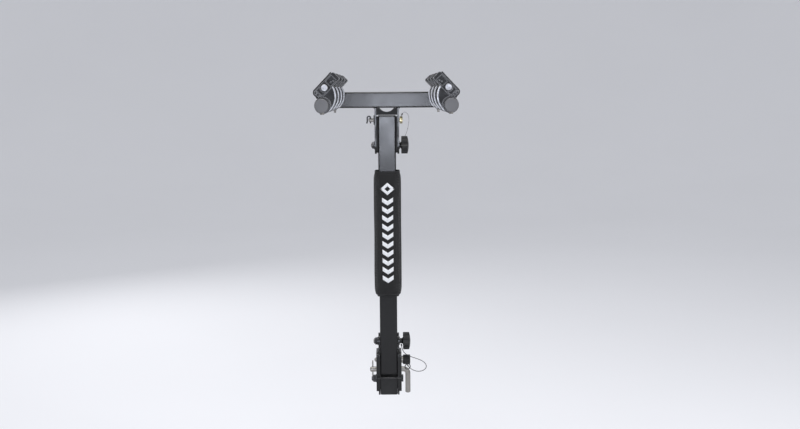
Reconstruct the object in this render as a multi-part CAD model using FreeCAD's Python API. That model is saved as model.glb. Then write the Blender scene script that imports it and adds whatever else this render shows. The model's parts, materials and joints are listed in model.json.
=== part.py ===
"""Hitch mounted bike rack: a folding two-arm carrier on a 50 mm receiver tongue.

Millimetres. +X is to the right seen from behind the vehicle, +Y points towards the vehicle, +Z is up.
The origin is the middle of the tongue, on the axis of the hitch pin.
"""
import FreeCAD, Part

import math
import os

from FreeCAD import Rotation, Vector

# Shared fits
RUNNING = 0.08          # radial clearance of a shaft that turns or slides in a hole
SNUG = 0.02             # radial clearance of a fastener that stays put

# Tongue and hitch pin
TONGUE_SIZE = 50.0
TONGUE_WALL = 4.0
TONGUE_FRONT = -175.0
TONGUE_BACK = 60.0
HITCH_PIN_R = 8.0
SPARE_HOLE_R = 8.25
SPARE_HOLE_Y = -50.0
HITCH_PIN_BEND = 14.0   # centreline radius of the bent end
HITCH_PIN_LEG_X = 58.0
HITCH_PIN_FOOT_Z = -74.0
HITCH_PIN_TIP_X = -58.0
HITCH_CLIP_X = -50.0
HITCH_CLIP_R = 1.75

# Mast
MAST_SIZE = 50.0
MAST_WALL = 3.0
MAST_CORNER = 3.5
MAST_Y = -150.0         # centre of the mast and of both hinges
MAST_FOOT_Z = 35.0
MAST_TOP_Z = 782.0
PLUG_FLANGE = 3.0

# Yoke on the tongue
YOKE_INNER_FACE = 25.4
YOKE_PLATE = 4.5
YOKE_OUTER_PLATE = 6.5
WEB_LOW_Z = 25.0
WEB_HIGH_Z = 30.0
LOWER_HINGE_Z = 129.0
LOWER_LOCK_Z = 73.0
YOKE_BOLT_Y = -140.0
YOKE_BOLT_Z = 14.0

# Upper bracket, crossbar and arms
BRACKET_INNER_FACE = 29.5
BRACKET_PLATE = 5.0
UPPER_HINGE_Z = 698.0
UPPER_LOCK_Z = 769.0
BAR_LOW_Z = 803.6
BAR_HIGH_Z = 847.7
BAR_FRONT_Y = -175.0
BAR_BACK_Y = -145.0
BAR_WALL = 2.5
BAR_HALF_LENGTH = 168.0
ARM_X = 145.5
ARM_Z = 818.6
ARM_R = 15.0
ARM_WALL = 2.5
ARM_SPIGOT_R = 12.0
ARM_END_Y = -715.0
ARM_CAP_R = 15.7
ARM_CAP_THICK = 5.0
ARM_ROOT_BOLT_Y = -160.0
ARM_TIP_BOLT_Y = -697.0

# Hinge studs, lock pins and knobs
STUD_R = 6.0
LOWER_LOCK_R = 6.0
UPPER_LOCK_R = 5.0
UPPER_CLIP_X = -46.0
UPPER_CLIP_R = 2.0
KNOB_LOBES = 7

# Pad round the mast
PAD_HALF = 38.0
PAD_LOW_Z = 267.0
PAD_HIGH_Z = 626.0
PAD_CORNER = 14.0

# Cradles, in their own frame: u runs up the block, v stands off the arm, w runs along the arm
CRADLES_PER_ARM = 4
CRADLE_PITCH = 150.0
FIRST_CRADLE_Y = -215.0
CRADLE_TILT = 46.0      # degrees that the block leans inboard and up
CRADLE_HALF_W = 16.0
CRADLE_HUB_R = 19.0
CRADLE_BLOCK_U = (6.0, 72.0)
CRADLE_BLOCK_V = (13.0, 36.0)
CRADLE_WEB_HALF_W = 11.0
STUD_UV = (32.0, 24.5)
STUD_HEAD_R = 8.0

# Wire lanyards
LANYARD_R = 1.0
UPPER_LANYARD_ROUTE = [
    (41.5, -150.0, 781.0), (43.0, -150.0, 787.0), (51.0, -149.0, 791.5), (59.0, -148.0, 787.0),
    (63.0, -146.0, 775.0), (62.5, -142.0, 759.0), (59.0, -136.0, 741.0), (53.0, -128.0, 725.0),
    (46.5, -122.5, 711.0), (39.5, -122.5, 700.0), (38.1, -130.0, 693.0), (38.1, -139.0, 694.0),
]
LOWER_LANYARD_ROUTE = [
    (36.5, -150.0, 119.5), (37.5, -152.0, 109.0), (43.0, -158.0, 96.0), (56.0, -165.0, 88.0),
    (74.0, -169.0, 82.5), (91.0, -171.0, 77.0), (105.0, -170.0, 68.0), (110.0, -166.0, 54.0),
    (101.0, -161.0, 42.0), (85.0, -158.0, 38.0), (69.0, -155.0, 42.0), (58.0, -152.0, 50.0),
    (53.0, -150.0, 57.2),
]


# ---------------------------------------------------------------- shapes

def block(x, y, z):
    """Box whose limits on each axis are (low, high) pairs."""
    return Part.makeBox(x[1] - x[0], y[1] - y[0], z[1] - z[0], Vector(x[0], y[0], z[0]))


def rod(radius, start, end):
    """Round bar between two points."""
    start, end = Vector(*start), Vector(*end)
    return Part.makeCylinder(radius, (end - start).Length, start, end - start)


def hexagon(across_flats, start, end):
    """Hexagonal bar between two points."""
    start, end = Vector(*start), Vector(*end)
    corner_r = across_flats / math.sqrt(3)
    corners = [Vector(corner_r * math.cos(math.radians(60 * i + 30)),
                      corner_r * math.sin(math.radians(60 * i + 30)), 0) for i in range(7)]
    bar = Part.Face(Part.makePolygon(corners)).extrude(Vector(0, 0, (end - start).Length))
    bar.Placement = FreeCAD.Placement(start, Rotation(Vector(0, 0, 1), end - start))
    return bar


def union(shapes):
    """One solid from several that touch or overlap."""
    return shapes[0].multiFuse(shapes[1:]).removeSplitter()


def mirrored(shape):
    """The same shape on the other side of the YZ plane."""
    return shape.mirror(Vector(0, 0, 0), Vector(1, 0, 0))


def rectangle(a, b, radius):
    """Corners of a rectangle between (low, high) pairs, each with the same rounding."""
    return [(a[0], b[0], radius), (a[1], b[0], radius), (a[1], b[1], radius), (a[0], b[1], radius)]


def outline(corners):
    """Flat face through corners (a, b, radius), each corner rounded by a tangent arc."""
    points = [Vector(a, b, 0) for a, b, _ in corners]
    bends = []
    for i, (_, _, radius) in enumerate(corners):
        here = points[i]
        back = (points[i - 1] - here).normalize()
        ahead = (points[(i + 1) % len(points)] - here).normalize()
        if radius == 0:
            bends.append((here, None, here))
            continue
        half = back.getAngle(ahead) / 2
        setback = radius / math.tan(half)
        centre = here + (back + ahead).normalize() * (radius / math.sin(half))
        middle = centre + (here - centre).normalize() * radius
        bends.append((here + back * setback, middle, here + ahead * setback))
    edges = []
    for i, (start, middle, end) in enumerate(bends):
        if middle is not None:
            edges.append(Part.Arc(start, middle, end).toShape())
        following = bends[(i + 1) % len(bends)][0]
        if (following - end).Length > 1e-4:
            edges.append(Part.makeLine(end, following))
    return Part.Face(Part.Wire(edges))


def plate(corners, normal, low, high):
    """Plate between two planes. The corners are (y, z) for normal X, (x, z) for Y and (x, y) for Z."""
    solid = outline(corners).extrude(Vector(0, 0, high - low))
    if normal == "X":
        solid.Placement = FreeCAD.Placement(Vector(low, 0, 0), Rotation(Vector(1, 1, 1), 120))
    elif normal == "Y":
        solid.Placement = FreeCAD.Placement(Vector(0, high, 0), Rotation(Vector(1, 0, 0), 90))
    else:
        solid.translate(Vector(0, 0, low))
    return solid


def hollow(a, b, wall, radius, normal, low, high):
    """Rectangular tube with rounded corners, along the given normal."""
    outer = plate(rectangle(a, b, radius), normal, low, high)
    inner_a = (a[0] + wall, a[1] - wall)
    inner_b = (b[0] + wall, b[1] - wall)
    inner = plate(rectangle(inner_a, inner_b, max(radius - wall, 0.5)), normal, low - 1, high + 1)
    return outer.cut(inner)


def arc_slot(pivot_z, radius, half_width, start, end, x):
    """Curved slot about the hinge line at height pivot_z, from start to end degrees up from +Y."""
    def at(r, angle):
        turn = math.radians(angle)
        return Vector(x[0], MAST_Y + r * math.cos(turn), pivot_z + r * math.sin(turn))

    middle = (start + end) / 2
    outer, inner = radius + half_width, radius - half_width
    edges = [
        Part.Arc(at(outer, start), at(outer, middle), at(outer, end)).toShape(),
        Part.makeLine(at(outer, end), at(inner, end)),
        Part.Arc(at(inner, end), at(inner, middle), at(inner, start)).toShape(),
        Part.makeLine(at(inner, start), at(outer, start)),
    ]
    along = Vector(x[1] - x[0], 0, 0)
    sector = Part.Face(Part.Wire(edges)).extrude(along)
    seat = Part.makeCylinder(half_width, along.Length, at(radius, start), Vector(1, 0, 0))
    return sector.fuse(seat)


def bent_rod(route, radius, name=None):
    """Round rod along straight runs joined by tangent arcs, each as large as its two runs allow."""
    points = [Vector(*p) for p in route]
    edges = []
    tightest = float("inf")
    end = points[0]
    for before, here, after in zip(points, points[1:], points[2:]):
        back, ahead = before - here, after - here
        half = back.getAngle(ahead) / 2
        setback = 0.45 * min(back.Length, ahead.Length)
        back.normalize()
        ahead.normalize()
        arc_radius = setback * math.tan(half)
        tightest = min(tightest, arc_radius)
        centre = here + (back + ahead).normalize() * (setback / math.cos(half))
        middle = centre + (here - centre).normalize() * arc_radius
        start = here + back * setback
        edges.append(Part.makeLine(end, start))
        end = here + ahead * setback
        edges.append(Part.Arc(start, middle, end).toShape())
    edges.append(Part.makeLine(end, points[-1]))
    path = Part.Wire(edges)
    section = Part.Wire(Part.Circle(points[0], points[1] - points[0], radius).toShape())
    solid = Part.Solid(path.makePipeShell([section], True, True))
    if name:
        share = solid.Volume / (math.pi * radius ** 2 * path.Length)
        print(f"{name}: length {path.Length:.1f}, tightest arc {tightest:.1f}, volume share {share:.4f}")
    return solid


def washer(radius, hole, x, y, z):
    """Flat washer on an X axis, between x = (low, high)."""
    disc = rod(radius, (x[0], y, z), (x[1], y, z))
    return disc.cut(rod(hole, (x[0] - 1, y, z), (x[1] + 1, y, z)))


def lock_nut(across_flats, hole, face_x, direction, y, z, thick):
    """Nut with a round nylon collar, standing off face_x along X in the given direction."""
    hex_end = face_x + direction * thick * 0.7
    collar_end = face_x + direction * thick
    nut = hexagon(across_flats, (face_x, y, z), (hex_end, y, z))
    nut = nut.fuse(rod(across_flats * 0.44, (hex_end, y, z), (collar_end, y, z)))
    return nut.cut(rod(hole, (face_x - direction, y, z), (collar_end + direction, y, z)))


# ---------------------------------------------------------------- root: tongue and yoke

def make_tongue():
    half = TONGUE_SIZE / 2
    tube = hollow((-half, half), (-half, half), TONGUE_WALL, 4.0, "Y", TONGUE_FRONT, TONGUE_BACK)
    reach = half + 1
    holes = [
        rod(HITCH_PIN_R + RUNNING, (-reach, 0, 0), (reach, 0, 0)),
        rod(SPARE_HOLE_R, (-reach, SPARE_HOLE_Y, 0), (reach, SPARE_HOLE_Y, 0)),
        rod(STUD_R + SNUG, (-reach, YOKE_BOLT_Y, YOKE_BOLT_Z), (reach, YOKE_BOLT_Y, YOKE_BOLT_Z)),
    ]
    return tube.cut(holes)


def make_tongue_end_cap():
    cover_half = 23.5
    plug_half = TONGUE_SIZE / 2 - TONGUE_WALL - 0.1
    cover = plate(rectangle((-cover_half, cover_half), (-cover_half, cover_half), 4.0),
                  "Y", TONGUE_FRONT - 2.0, TONGUE_FRONT)
    plug = plate(rectangle((-plug_half, plug_half), (-plug_half, plug_half), 2.0),
                 "Y", TONGUE_FRONT, TONGUE_FRONT + 16.0)
    return union([cover, plug])


def yoke_outer_face():
    return YOKE_INNER_FACE + YOKE_PLATE + YOKE_OUTER_PLATE


def make_yoke_base_web():
    """Plate on top of the tongue, with a lip that crosses the front edges of the side plates."""
    lip = yoke_outer_face()
    inside = YOKE_INNER_FACE
    corners = [(-lip, -187.0, 2.0), (lip, -187.0, 2.0), (lip, -183.0, 0), (inside, -183.0, 0),
               (inside, -112.0, 0), (-inside, -112.0, 0), (-inside, -183.0, 0), (-lip, -183.0, 0)]
    return plate(corners, "Z", WEB_LOW_Z, WEB_HIGH_Z)


def lower_lock_slot(x):
    """Notch that the lower lock pin leaves through when the mast tilts, open towards the vehicle."""
    return arc_slot(LOWER_HINGE_Z, LOWER_HINGE_Z - LOWER_LOCK_Z, LOWER_LOCK_R + 0.15, -90, -28, x)


def make_yoke_inner_plate():
    """Right-hand plate beside the mast foot, with a round top about the lower hinge."""
    x = (YOKE_INNER_FACE, YOKE_INNER_FACE + YOKE_PLATE)
    top_r = 24.0
    corners = [(-183.0, -24.0, 5.0), (-112.0, -24.0, 5.0), (-112.0, 88.0, 14.0),
               (MAST_Y + top_r, 110.0, 14.0), (MAST_Y + top_r, LOWER_HINGE_Z + top_r, top_r - 0.01),
               (MAST_Y - top_r, LOWER_HINGE_Z + top_r, top_r - 0.01), (MAST_Y - top_r, 112.0, 14.0),
               (-183.0, 94.0, 14.0)]
    cutters = [
        lower_lock_slot((x[0] - 1, x[1] + 1)),
        rod(STUD_R + RUNNING, (x[0] - 1, MAST_Y, LOWER_HINGE_Z), (x[1] + 1, MAST_Y, LOWER_HINGE_Z)),
        rod(STUD_R + SNUG, (x[0] - 1, YOKE_BOLT_Y, YOKE_BOLT_Z), (x[1] + 1, YOKE_BOLT_Y, YOKE_BOLT_Z)),
    ]
    return plate(corners, "X", *x).cut(cutters)


def make_yoke_outer_plate():
    """Right-hand reinforcement plate outside the inner one."""
    x = (YOKE_INNER_FACE + YOKE_PLATE, yoke_outer_face())
    corners = [(-183.0, -14.0, 7.0), (-100.0, -14.0, 16.0), (-100.0, 66.0, 12.0),
               (-118.0, 100.0, 8.0), (-183.0, 100.0, 12.0)]
    cutters = [
        lower_lock_slot((x[0] - 1, x[1] + 1)),
        rod(STUD_R + SNUG, (x[0] - 1, YOKE_BOLT_Y, YOKE_BOLT_Z), (x[1] + 1, YOKE_BOLT_Y, YOKE_BOLT_Z)),
    ]
    return plate(corners, "X", *x).cut(cutters)


def make_yoke_bolt():
    """M12 bolt across the outer plates and the tongue, with its head on the right."""
    y, z = YOKE_BOLT_Y, YOKE_BOLT_Z
    face = yoke_outer_face()
    seat = -face - 2.5
    head = hexagon(19.0, (face, y, z), (face + 5.5, y, z))
    bolt = union([rod(STUD_R, (seat - 12.0, y, z), (face, y, z)), head])
    return [
        bolt,
        washer(12.0, STUD_R + SNUG, (seat, -face), y, z),
        lock_nut(19.0, STUD_R + SNUG, seat, -1, y, z, 10.0),
    ]


def make_hinge_nut(face, hinge_z, washer_thick, nut_thick):
    """Washers on both sides of a hinge and the lock nut on its left."""
    hole = STUD_R + RUNNING
    seat = face + washer_thick
    return [
        washer(12.0, hole, (-seat, -face), MAST_Y, hinge_z),
        washer(12.0, hole, (face, seat), MAST_Y, hinge_z),
        lock_nut(19.0, hole, -seat, -1, MAST_Y, hinge_z, nut_thick),
    ]


# ---------------------------------------------------------------- hitch pin

def make_hitch_pin():
    bend_x = HITCH_PIN_LEG_X - HITCH_PIN_BEND
    straight = rod(HITCH_PIN_R, (HITCH_PIN_TIP_X + 3.0, 0, 0), (bend_x, 0, 0))
    tip_base = Vector(HITCH_PIN_TIP_X + 3.0, 0, 0)
    tip = Part.makeCone(HITCH_PIN_R, HITCH_PIN_R - 2.5, 3.0, tip_base, Vector(-1, 0, 0))
    section = Part.Face(Part.Wire(Part.Circle(Vector(bend_x, 0, 0), Vector(1, 0, 0), HITCH_PIN_R).toShape()))
    elbow = section.revolve(Vector(bend_x, 0, -HITCH_PIN_BEND), Vector(0, 1, 0), 90)
    foot = HITCH_PIN_FOOT_Z + 2.0
    leg = rod(HITCH_PIN_R, (HITCH_PIN_LEG_X, 0, -HITCH_PIN_BEND), (HITCH_PIN_LEG_X, 0, foot))
    end_base = Vector(HITCH_PIN_LEG_X, 0, foot)
    end = Part.makeCone(HITCH_PIN_R, HITCH_PIN_R - 2.0, 2.0, end_base, Vector(0, 0, -1))
    pin = union([straight, tip, elbow, leg, end])
    return pin.cut(rod(HITCH_CLIP_R + RUNNING, (HITCH_CLIP_X, 0, -10), (HITCH_CLIP_X, 0, 10)))


def make_hitch_pin_clip():
    """Hairpin through the pin's cross hole, its sprung arm beside the pin."""
    arm_y = HITCH_PIN_R + HITCH_CLIP_R + 0.8
    route = [(HITCH_CLIP_X, 0, -26.0), (HITCH_CLIP_X, 0, 25.0), (HITCH_CLIP_X, arm_y, 25.0),
             (HITCH_CLIP_X, arm_y, -9.0), (HITCH_CLIP_X, arm_y + 4.5, -20.0)]
    return bent_rod(route, HITCH_CLIP_R)


# ---------------------------------------------------------------- mast

def make_mast():
    half = MAST_SIZE / 2
    tube = hollow((-half, half), (MAST_Y - half, MAST_Y + half), MAST_WALL, MAST_CORNER, "Z",
                  MAST_FOOT_Z + PLUG_FLANGE, MAST_TOP_Z - PLUG_FLANGE)
    reach = half + 1
    holes = [rod(r, (-reach, MAST_Y, z), (reach, MAST_Y, z)) for r, z in (
        (STUD_R + RUNNING, LOWER_HINGE_Z),
        (STUD_R + RUNNING, UPPER_HINGE_Z),
        (LOWER_LOCK_R + RUNNING, LOWER_LOCK_Z),
        (UPPER_LOCK_R + RUNNING, UPPER_LOCK_Z),
    )]
    return tube.cut(holes)


def make_mast_plug(outer_z, inner_z, inside_z):
    """Moulded plug: a flange that closes the tube and a stem inside it."""
    half = MAST_SIZE / 2
    stem = half - MAST_WALL - 0.1
    flange = plate(rectangle((-half, half), (MAST_Y - half, MAST_Y + half), MAST_CORNER),
                   "Z", *sorted((outer_z, inner_z)))
    outer_face = max(flange.Faces, key=lambda f: abs(f.CenterOfMass.z - inside_z))
    flange = flange.makeChamfer(1.2, outer_face.Edges)
    core = plate(rectangle((-stem, stem), (MAST_Y - stem, MAST_Y + stem), 1.5),
                 "Z", *sorted((inner_z, inside_z)))
    return union([flange, core])


def make_mast_plugs():
    return [
        make_mast_plug(MAST_FOOT_Z, MAST_FOOT_Z + PLUG_FLANGE, MAST_FOOT_Z + 15.0),
        make_mast_plug(MAST_TOP_Z, MAST_TOP_Z - PLUG_FLANGE, MAST_TOP_Z - 5.0),
    ]


def make_mast_side_liners():
    """Nylon strips that fill the gaps between the mast and the upper bracket."""
    x = (MAST_SIZE / 2, BRACKET_INNER_FACE - 0.2)
    half, below = 21.0, 21.0
    corners = [(MAST_Y - half, UPPER_HINGE_Z - below, 12.0), (MAST_Y + half, UPPER_HINGE_Z - below, 12.0),
               (MAST_Y + half, MAST_TOP_Z - PLUG_FLANGE, 2.0), (MAST_Y - half, MAST_TOP_Z - PLUG_FLANGE, 2.0)]
    holes = [rod(radius + RUNNING, (x[0] - 1, MAST_Y, z), (x[1] + 1, MAST_Y, z))
             for radius, z in ((STUD_R, UPPER_HINGE_Z), (UPPER_LOCK_R, UPPER_LOCK_Z))]
    right = plate(corners, "X", *x).cut(holes)
    return [right, mirrored(right)]


def make_pad_sleeve():
    """Foam sleeve round the mast."""
    hole = MAST_SIZE / 2 + 0.2
    outer = plate(rectangle((-PAD_HALF, PAD_HALF), (MAST_Y - PAD_HALF, MAST_Y + PAD_HALF), PAD_CORNER),
                  "Z", PAD_LOW_Z, PAD_HIGH_Z)
    inner = plate(rectangle((-hole, hole), (MAST_Y - hole, MAST_Y + hole), MAST_CORNER),
                  "Z", PAD_LOW_Z - 1, PAD_HIGH_Z + 1)
    return outer.cut(inner)


# ---------------------------------------------------------------- knobs and lock pins

def make_knob(hinge_z, neck_x, inner_x, outer_x, outer_r):
    """Lobed hand knob on an X axis, with a crowned outer face and a slim neck towards the plates."""
    crown_rise = 4.0
    crown_r = (outer_r ** 2 + crown_rise ** 2) / (2 * crown_rise)
    lobe_r = outer_r * 0.28
    lobe_centre = outer_r - lobe_r
    body = [rod(outer_r * 0.84, (inner_x, 0, 0), (outer_x, 0, 0))]
    for i in range(KNOB_LOBES):
        turn = 2 * math.pi * i / KNOB_LOBES
        y, z = lobe_centre * math.sin(turn), lobe_centre * math.cos(turn)
        body.append(rod(lobe_r, (inner_x, y, z), (outer_x, y, z)))
    envelope = rod(outer_r, (inner_x, 0, 0), (outer_x, 0, 0))
    envelope = envelope.common(Part.makeSphere(crown_r, Vector(outer_x - crown_r, 0, 0)))
    rims = [e for e in envelope.Edges if isinstance(e.Curve, Part.Circle) and abs(e.Curve.Axis.x) > 0.9]
    envelope = envelope.makeFillet(2.5, rims)
    head = union(body).common(envelope)
    neck = rod(7.5, (neck_x, 0, 0), (inner_x + 1, 0, 0))
    flare = Part.makeCone(7.5, 11.0, 3.0, Vector(inner_x - 3.0, 0, 0), Vector(1, 0, 0))
    knob = union([head, neck, flare])
    knob = knob.cut(rod(STUD_R + SNUG, (neck_x - 1, 0, 0), (outer_x - 5.0, 0, 0)))
    knob.translate(Vector(0, MAST_Y, hinge_z))
    return knob


def make_knob_stud(hinge_z, tip_x, end_x):
    """Threaded stud moulded into the knob; it is the hinge's axle."""
    stud = rod(STUD_R, (tip_x + 1.5, MAST_Y, hinge_z), (end_x, MAST_Y, hinge_z))
    point = Part.makeCone(STUD_R, STUD_R - 1.2, 1.5, Vector(tip_x + 1.5, MAST_Y, hinge_z), Vector(-1, 0, 0))
    return union([stud, point])


def make_lower_lock_pin():
    y, z = MAST_Y, LOWER_LOCK_Z
    shaft = rod(LOWER_LOCK_R, (-39.0, y, z), (55.0, y, z))
    point = Part.makeCone(LOWER_LOCK_R, LOWER_LOCK_R - 2.5, 3.0, Vector(-39.0, y, z), Vector(-1, 0, 0))
    collar_x = yoke_outer_face() + 0.4
    collar = rod(10.0, (collar_x, y, z), (41.0, y, z))
    return union([shaft, point, collar])


def make_lower_lock_grip():
    """Knurled pull head on the lower lock pin."""
    y, z = MAST_Y, LOWER_LOCK_Z
    radius, grooves = 14.0, 18
    grip = rod(radius, (41.0, y, z), (62.0, y, z))
    ends = [e for e in grip.Edges if len(e.Vertexes) == 1]
    grip = grip.makeFillet(2.0, ends)
    cutters = [rod(LOWER_LOCK_R + SNUG, (40.0, y, z), (55.0, y, z))]
    for i in range(grooves):
        turn = 2 * math.pi * i / grooves
        gy, gz = y + (radius + 0.3) * math.cos(turn), z + (radius + 0.3) * math.sin(turn)
        cutters.append(rod(1.5, (44.0, gy, gz), (59.0, gy, gz)))
    return grip.cut(cutters)


def make_upper_lock_pin():
    y, z = MAST_Y, UPPER_LOCK_Z
    shaft = rod(UPPER_LOCK_R, (-50.0, y, z), (38.0, y, z))
    point = Part.makeCone(UPPER_LOCK_R, UPPER_LOCK_R - 1.5, 1.5, Vector(-50.0, y, z), Vector(-1, 0, 0))
    clip_hole = rod(UPPER_CLIP_R + RUNNING, (UPPER_CLIP_X, y, z - 8), (UPPER_CLIP_X, y, z + 8))
    return union([shaft, point]).cut(clip_hole)


def make_upper_lock_head():
    """Disc head on the right end of the upper lock pin."""
    y, z = MAST_Y, UPPER_LOCK_Z
    head = rod(10.5, (36.5, y, z), (44.5, y, z))
    outer_edge = [e for e in head.Edges if len(e.Vertexes) == 1 and e.CenterOfMass.x > 44]
    head = head.makeFillet(1.5, outer_edge)
    return head.cut(rod(UPPER_LOCK_R + SNUG, (35.0, y, z), (38.0, y, z)))


def make_upper_lock_clip():
    """Small hairpin through the left end of the upper lock pin, its arm past the pin's tip."""
    z = UPPER_LOCK_Z
    arm_x = UPPER_CLIP_X - 9.0
    route = [(UPPER_CLIP_X, MAST_Y, z - 9.0), (UPPER_CLIP_X, MAST_Y, z + 10.5), (arm_x, MAST_Y, z + 10.5),
             (arm_x, MAST_Y, z - 4.0), (arm_x - 2.0, MAST_Y, z - 9.5)]
    return bent_rod(route, UPPER_CLIP_R)


# ---------------------------------------------------------------- head: bracket, crossbar and arms

def make_bracket_plate():
    """Right-hand plate from the crossbar down past the upper hinge."""
    x = (BRACKET_INNER_FACE, BRACKET_INNER_FACE + BRACKET_PLATE)
    round_r = 25.0
    corners = [(-174.0, BAR_LOW_Z, 0), (-174.0, 751.0, 30.0), (MAST_Y - round_r + 2, 721.0, 20.0),
               (MAST_Y - round_r + 2, UPPER_HINGE_Z - round_r, round_r - 2),
               (MAST_Y + round_r - 2, UPPER_HINGE_Z - round_r, round_r - 2),
               (MAST_Y + round_r - 2, 725.0, 20.0), (-118.0, 753.0, 20.0), (-118.0, 787.0, 10.0),
               (BAR_BACK_Y + 2.0, BAR_LOW_Z, 0)]
    cutters = [
        arc_slot(UPPER_HINGE_Z, UPPER_LOCK_Z - UPPER_HINGE_Z, UPPER_LOCK_R + 0.15, 90, 40,
                 (x[0] - 1, x[1] + 1)),
        rod(STUD_R + RUNNING, (x[0] - 1, MAST_Y, UPPER_HINGE_Z), (x[1] + 1, MAST_Y, UPPER_HINGE_Z)),
    ]
    return plate(corners, "X", *x).cut(cutters)


def make_bracket_web():
    """Front web between the bracket plates, with a dished top edge below the crossbar."""
    side = BRACKET_INNER_FACE
    low = MAST_TOP_Z + 2.0
    web = plate(rectangle((-side, side), (low, BAR_LOW_Z), 0), "Y", -174.0, -170.0)
    dish_half, dish_depth = 20.0, 11.0
    radius = (dish_half ** 2 + dish_depth ** 2) / (2 * dish_depth)
    centre_z = BAR_LOW_Z - dish_depth + radius
    return web.cut(rod(radius, (0, -176.0, centre_z), (0, -168.0, centre_z)))


def make_crossbar():
    tube = hollow((BAR_FRONT_Y, BAR_BACK_Y), (BAR_LOW_Z, BAR_HIGH_Z), BAR_WALL, 4.0, "X",
                  -BAR_HALF_LENGTH + 2.0, BAR_HALF_LENGTH - 2.0)
    cutters = []
    for side in (-1, 1):
        x = side * ARM_X
        cutters.append(rod(ARM_SPIGOT_R + SNUG, (x, BAR_FRONT_Y - 1, ARM_Z), (x, BAR_FRONT_Y + 6, ARM_Z)))
        cutters.append(rod(3.0 + SNUG, (x, ARM_ROOT_BOLT_Y, BAR_LOW_Z - 1),
                           (x, ARM_ROOT_BOLT_Y, BAR_HIGH_Z + 1)))
    return tube.cut(cutters)


def make_crossbar_plugs():
    end = BAR_HALF_LENGTH
    cover = plate(rectangle((BAR_FRONT_Y, BAR_BACK_Y), (BAR_LOW_Z, BAR_HIGH_Z), 4.0), "X", end - 2.0, end)
    inset = BAR_WALL + 0.1
    stem = plate(rectangle((BAR_FRONT_Y + inset, BAR_BACK_Y - inset),
                           (BAR_LOW_Z + inset, BAR_HIGH_Z - inset), 1.5), "X", end - 8.0, end - 2.0)
    right = union([cover, stem])
    return [right, mirrored(right)]


def make_arm():
    """Right-hand arm: a round tube with a reduced spigot inside the crossbar."""
    x = ARM_X
    shoulder_y = BAR_FRONT_Y
    spigot_end = BAR_BACK_Y - BAR_WALL - 0.2
    tube = rod(ARM_R, (x, ARM_END_Y, ARM_Z), (x, shoulder_y, ARM_Z))
    spigot = rod(ARM_SPIGOT_R, (x, shoulder_y, ARM_Z), (x, spigot_end, ARM_Z))
    bore = rod(ARM_R - ARM_WALL, (x, ARM_END_Y - 1, ARM_Z), (x, shoulder_y - 8.0, ARM_Z))
    root_hole = rod(3.0 + SNUG, (x, ARM_ROOT_BOLT_Y, ARM_Z - 20), (x, ARM_ROOT_BOLT_Y, ARM_Z + 20))
    tip_hole = rod(3.0 + SNUG, (x, ARM_TIP_BOLT_Y, ARM_Z - 20), (x, ARM_TIP_BOLT_Y, ARM_Z))
    return tube.fuse(spigot).cut([bore, root_hole, tip_hole]).removeSplitter()


def make_arm_end_cap():
    x = ARM_X
    front = ARM_END_Y - ARM_CAP_THICK
    disc = rod(ARM_CAP_R, (x, front, ARM_Z), (x, ARM_END_Y, ARM_Z))
    front_edge = [e for e in disc.Edges if len(e.Vertexes) == 1 and e.CenterOfMass.y < front + 1]
    disc = disc.makeFillet(1.8, front_edge)
    plug = rod(ARM_R - ARM_WALL - 0.1, (x, ARM_END_Y, ARM_Z), (x, ARM_TIP_BOLT_Y + 8.0, ARM_Z))
    hole = rod(3.0 + SNUG, (x, ARM_TIP_BOLT_Y, ARM_Z - 20), (x, ARM_TIP_BOLT_Y, ARM_Z + 6.0))
    return union([disc, plug]).cut(hole)


def make_arm_bolts():
    """M6 bolts of one arm: down through the crossbar with a nut below, and up into the end cap."""
    x, y = ARM_X, ARM_ROOT_BOLT_Y
    bolt = union([hexagon(10.0, (x, y, BAR_HIGH_Z), (x, y, BAR_HIGH_Z + 4.0)),
                  rod(3.0, (x, y, BAR_LOW_Z - 13.0), (x, y, BAR_HIGH_Z))])
    nut = hexagon(10.0, (x, y, BAR_LOW_Z - 6.0), (x, y, BAR_LOW_Z))
    nut = nut.cut(rod(3.0 + SNUG, (x, y, BAR_LOW_Z - 7.0), (x, y, BAR_LOW_Z + 1.0)))
    y = ARM_TIP_BOLT_Y
    low = ARM_Z - ARM_R - 0.4
    tip = union([hexagon(9.0, (x, y, low - 4.6), (x, y, low)), rod(3.0, (x, y, low), (x, y, ARM_Z + 5.0))])
    return [bolt, nut, tip]


# ---------------------------------------------------------------- cradles

def uv_plate(corners, half_w):
    """Plate in the cradle's own frame, centred on the middle of the cradle."""
    return plate(corners, "Y", -half_w, half_w)


def cradle_band():
    """Steel strip along the free edge of the cradle's web."""
    def curve(start, middle, end):
        return Part.Arc(*(Vector(u, 0, v) for u, v in (start, middle, end))).toShape()

    outer = curve((47.5, 13.0), (32.6, -10.6), (0.0, -19.8))
    inner = curve((45.0, 13.0), (30.9, -8.7), (0.0, -17.3))
    strip = Part.Face(Part.Wire([
        outer,
        Part.makeLine(outer.Vertexes[-1].Point, inner.Vertexes[-1].Point),
        inner,
        Part.makeLine(inner.Vertexes[0].Point, outer.Vertexes[0].Point),
    ]))
    strip = strip.extrude(Vector(0, 2 * CRADLE_HALF_W - 2, 0))
    strip.translate(Vector(0, 1 - CRADLE_HALF_W, 0))
    return strip


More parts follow.
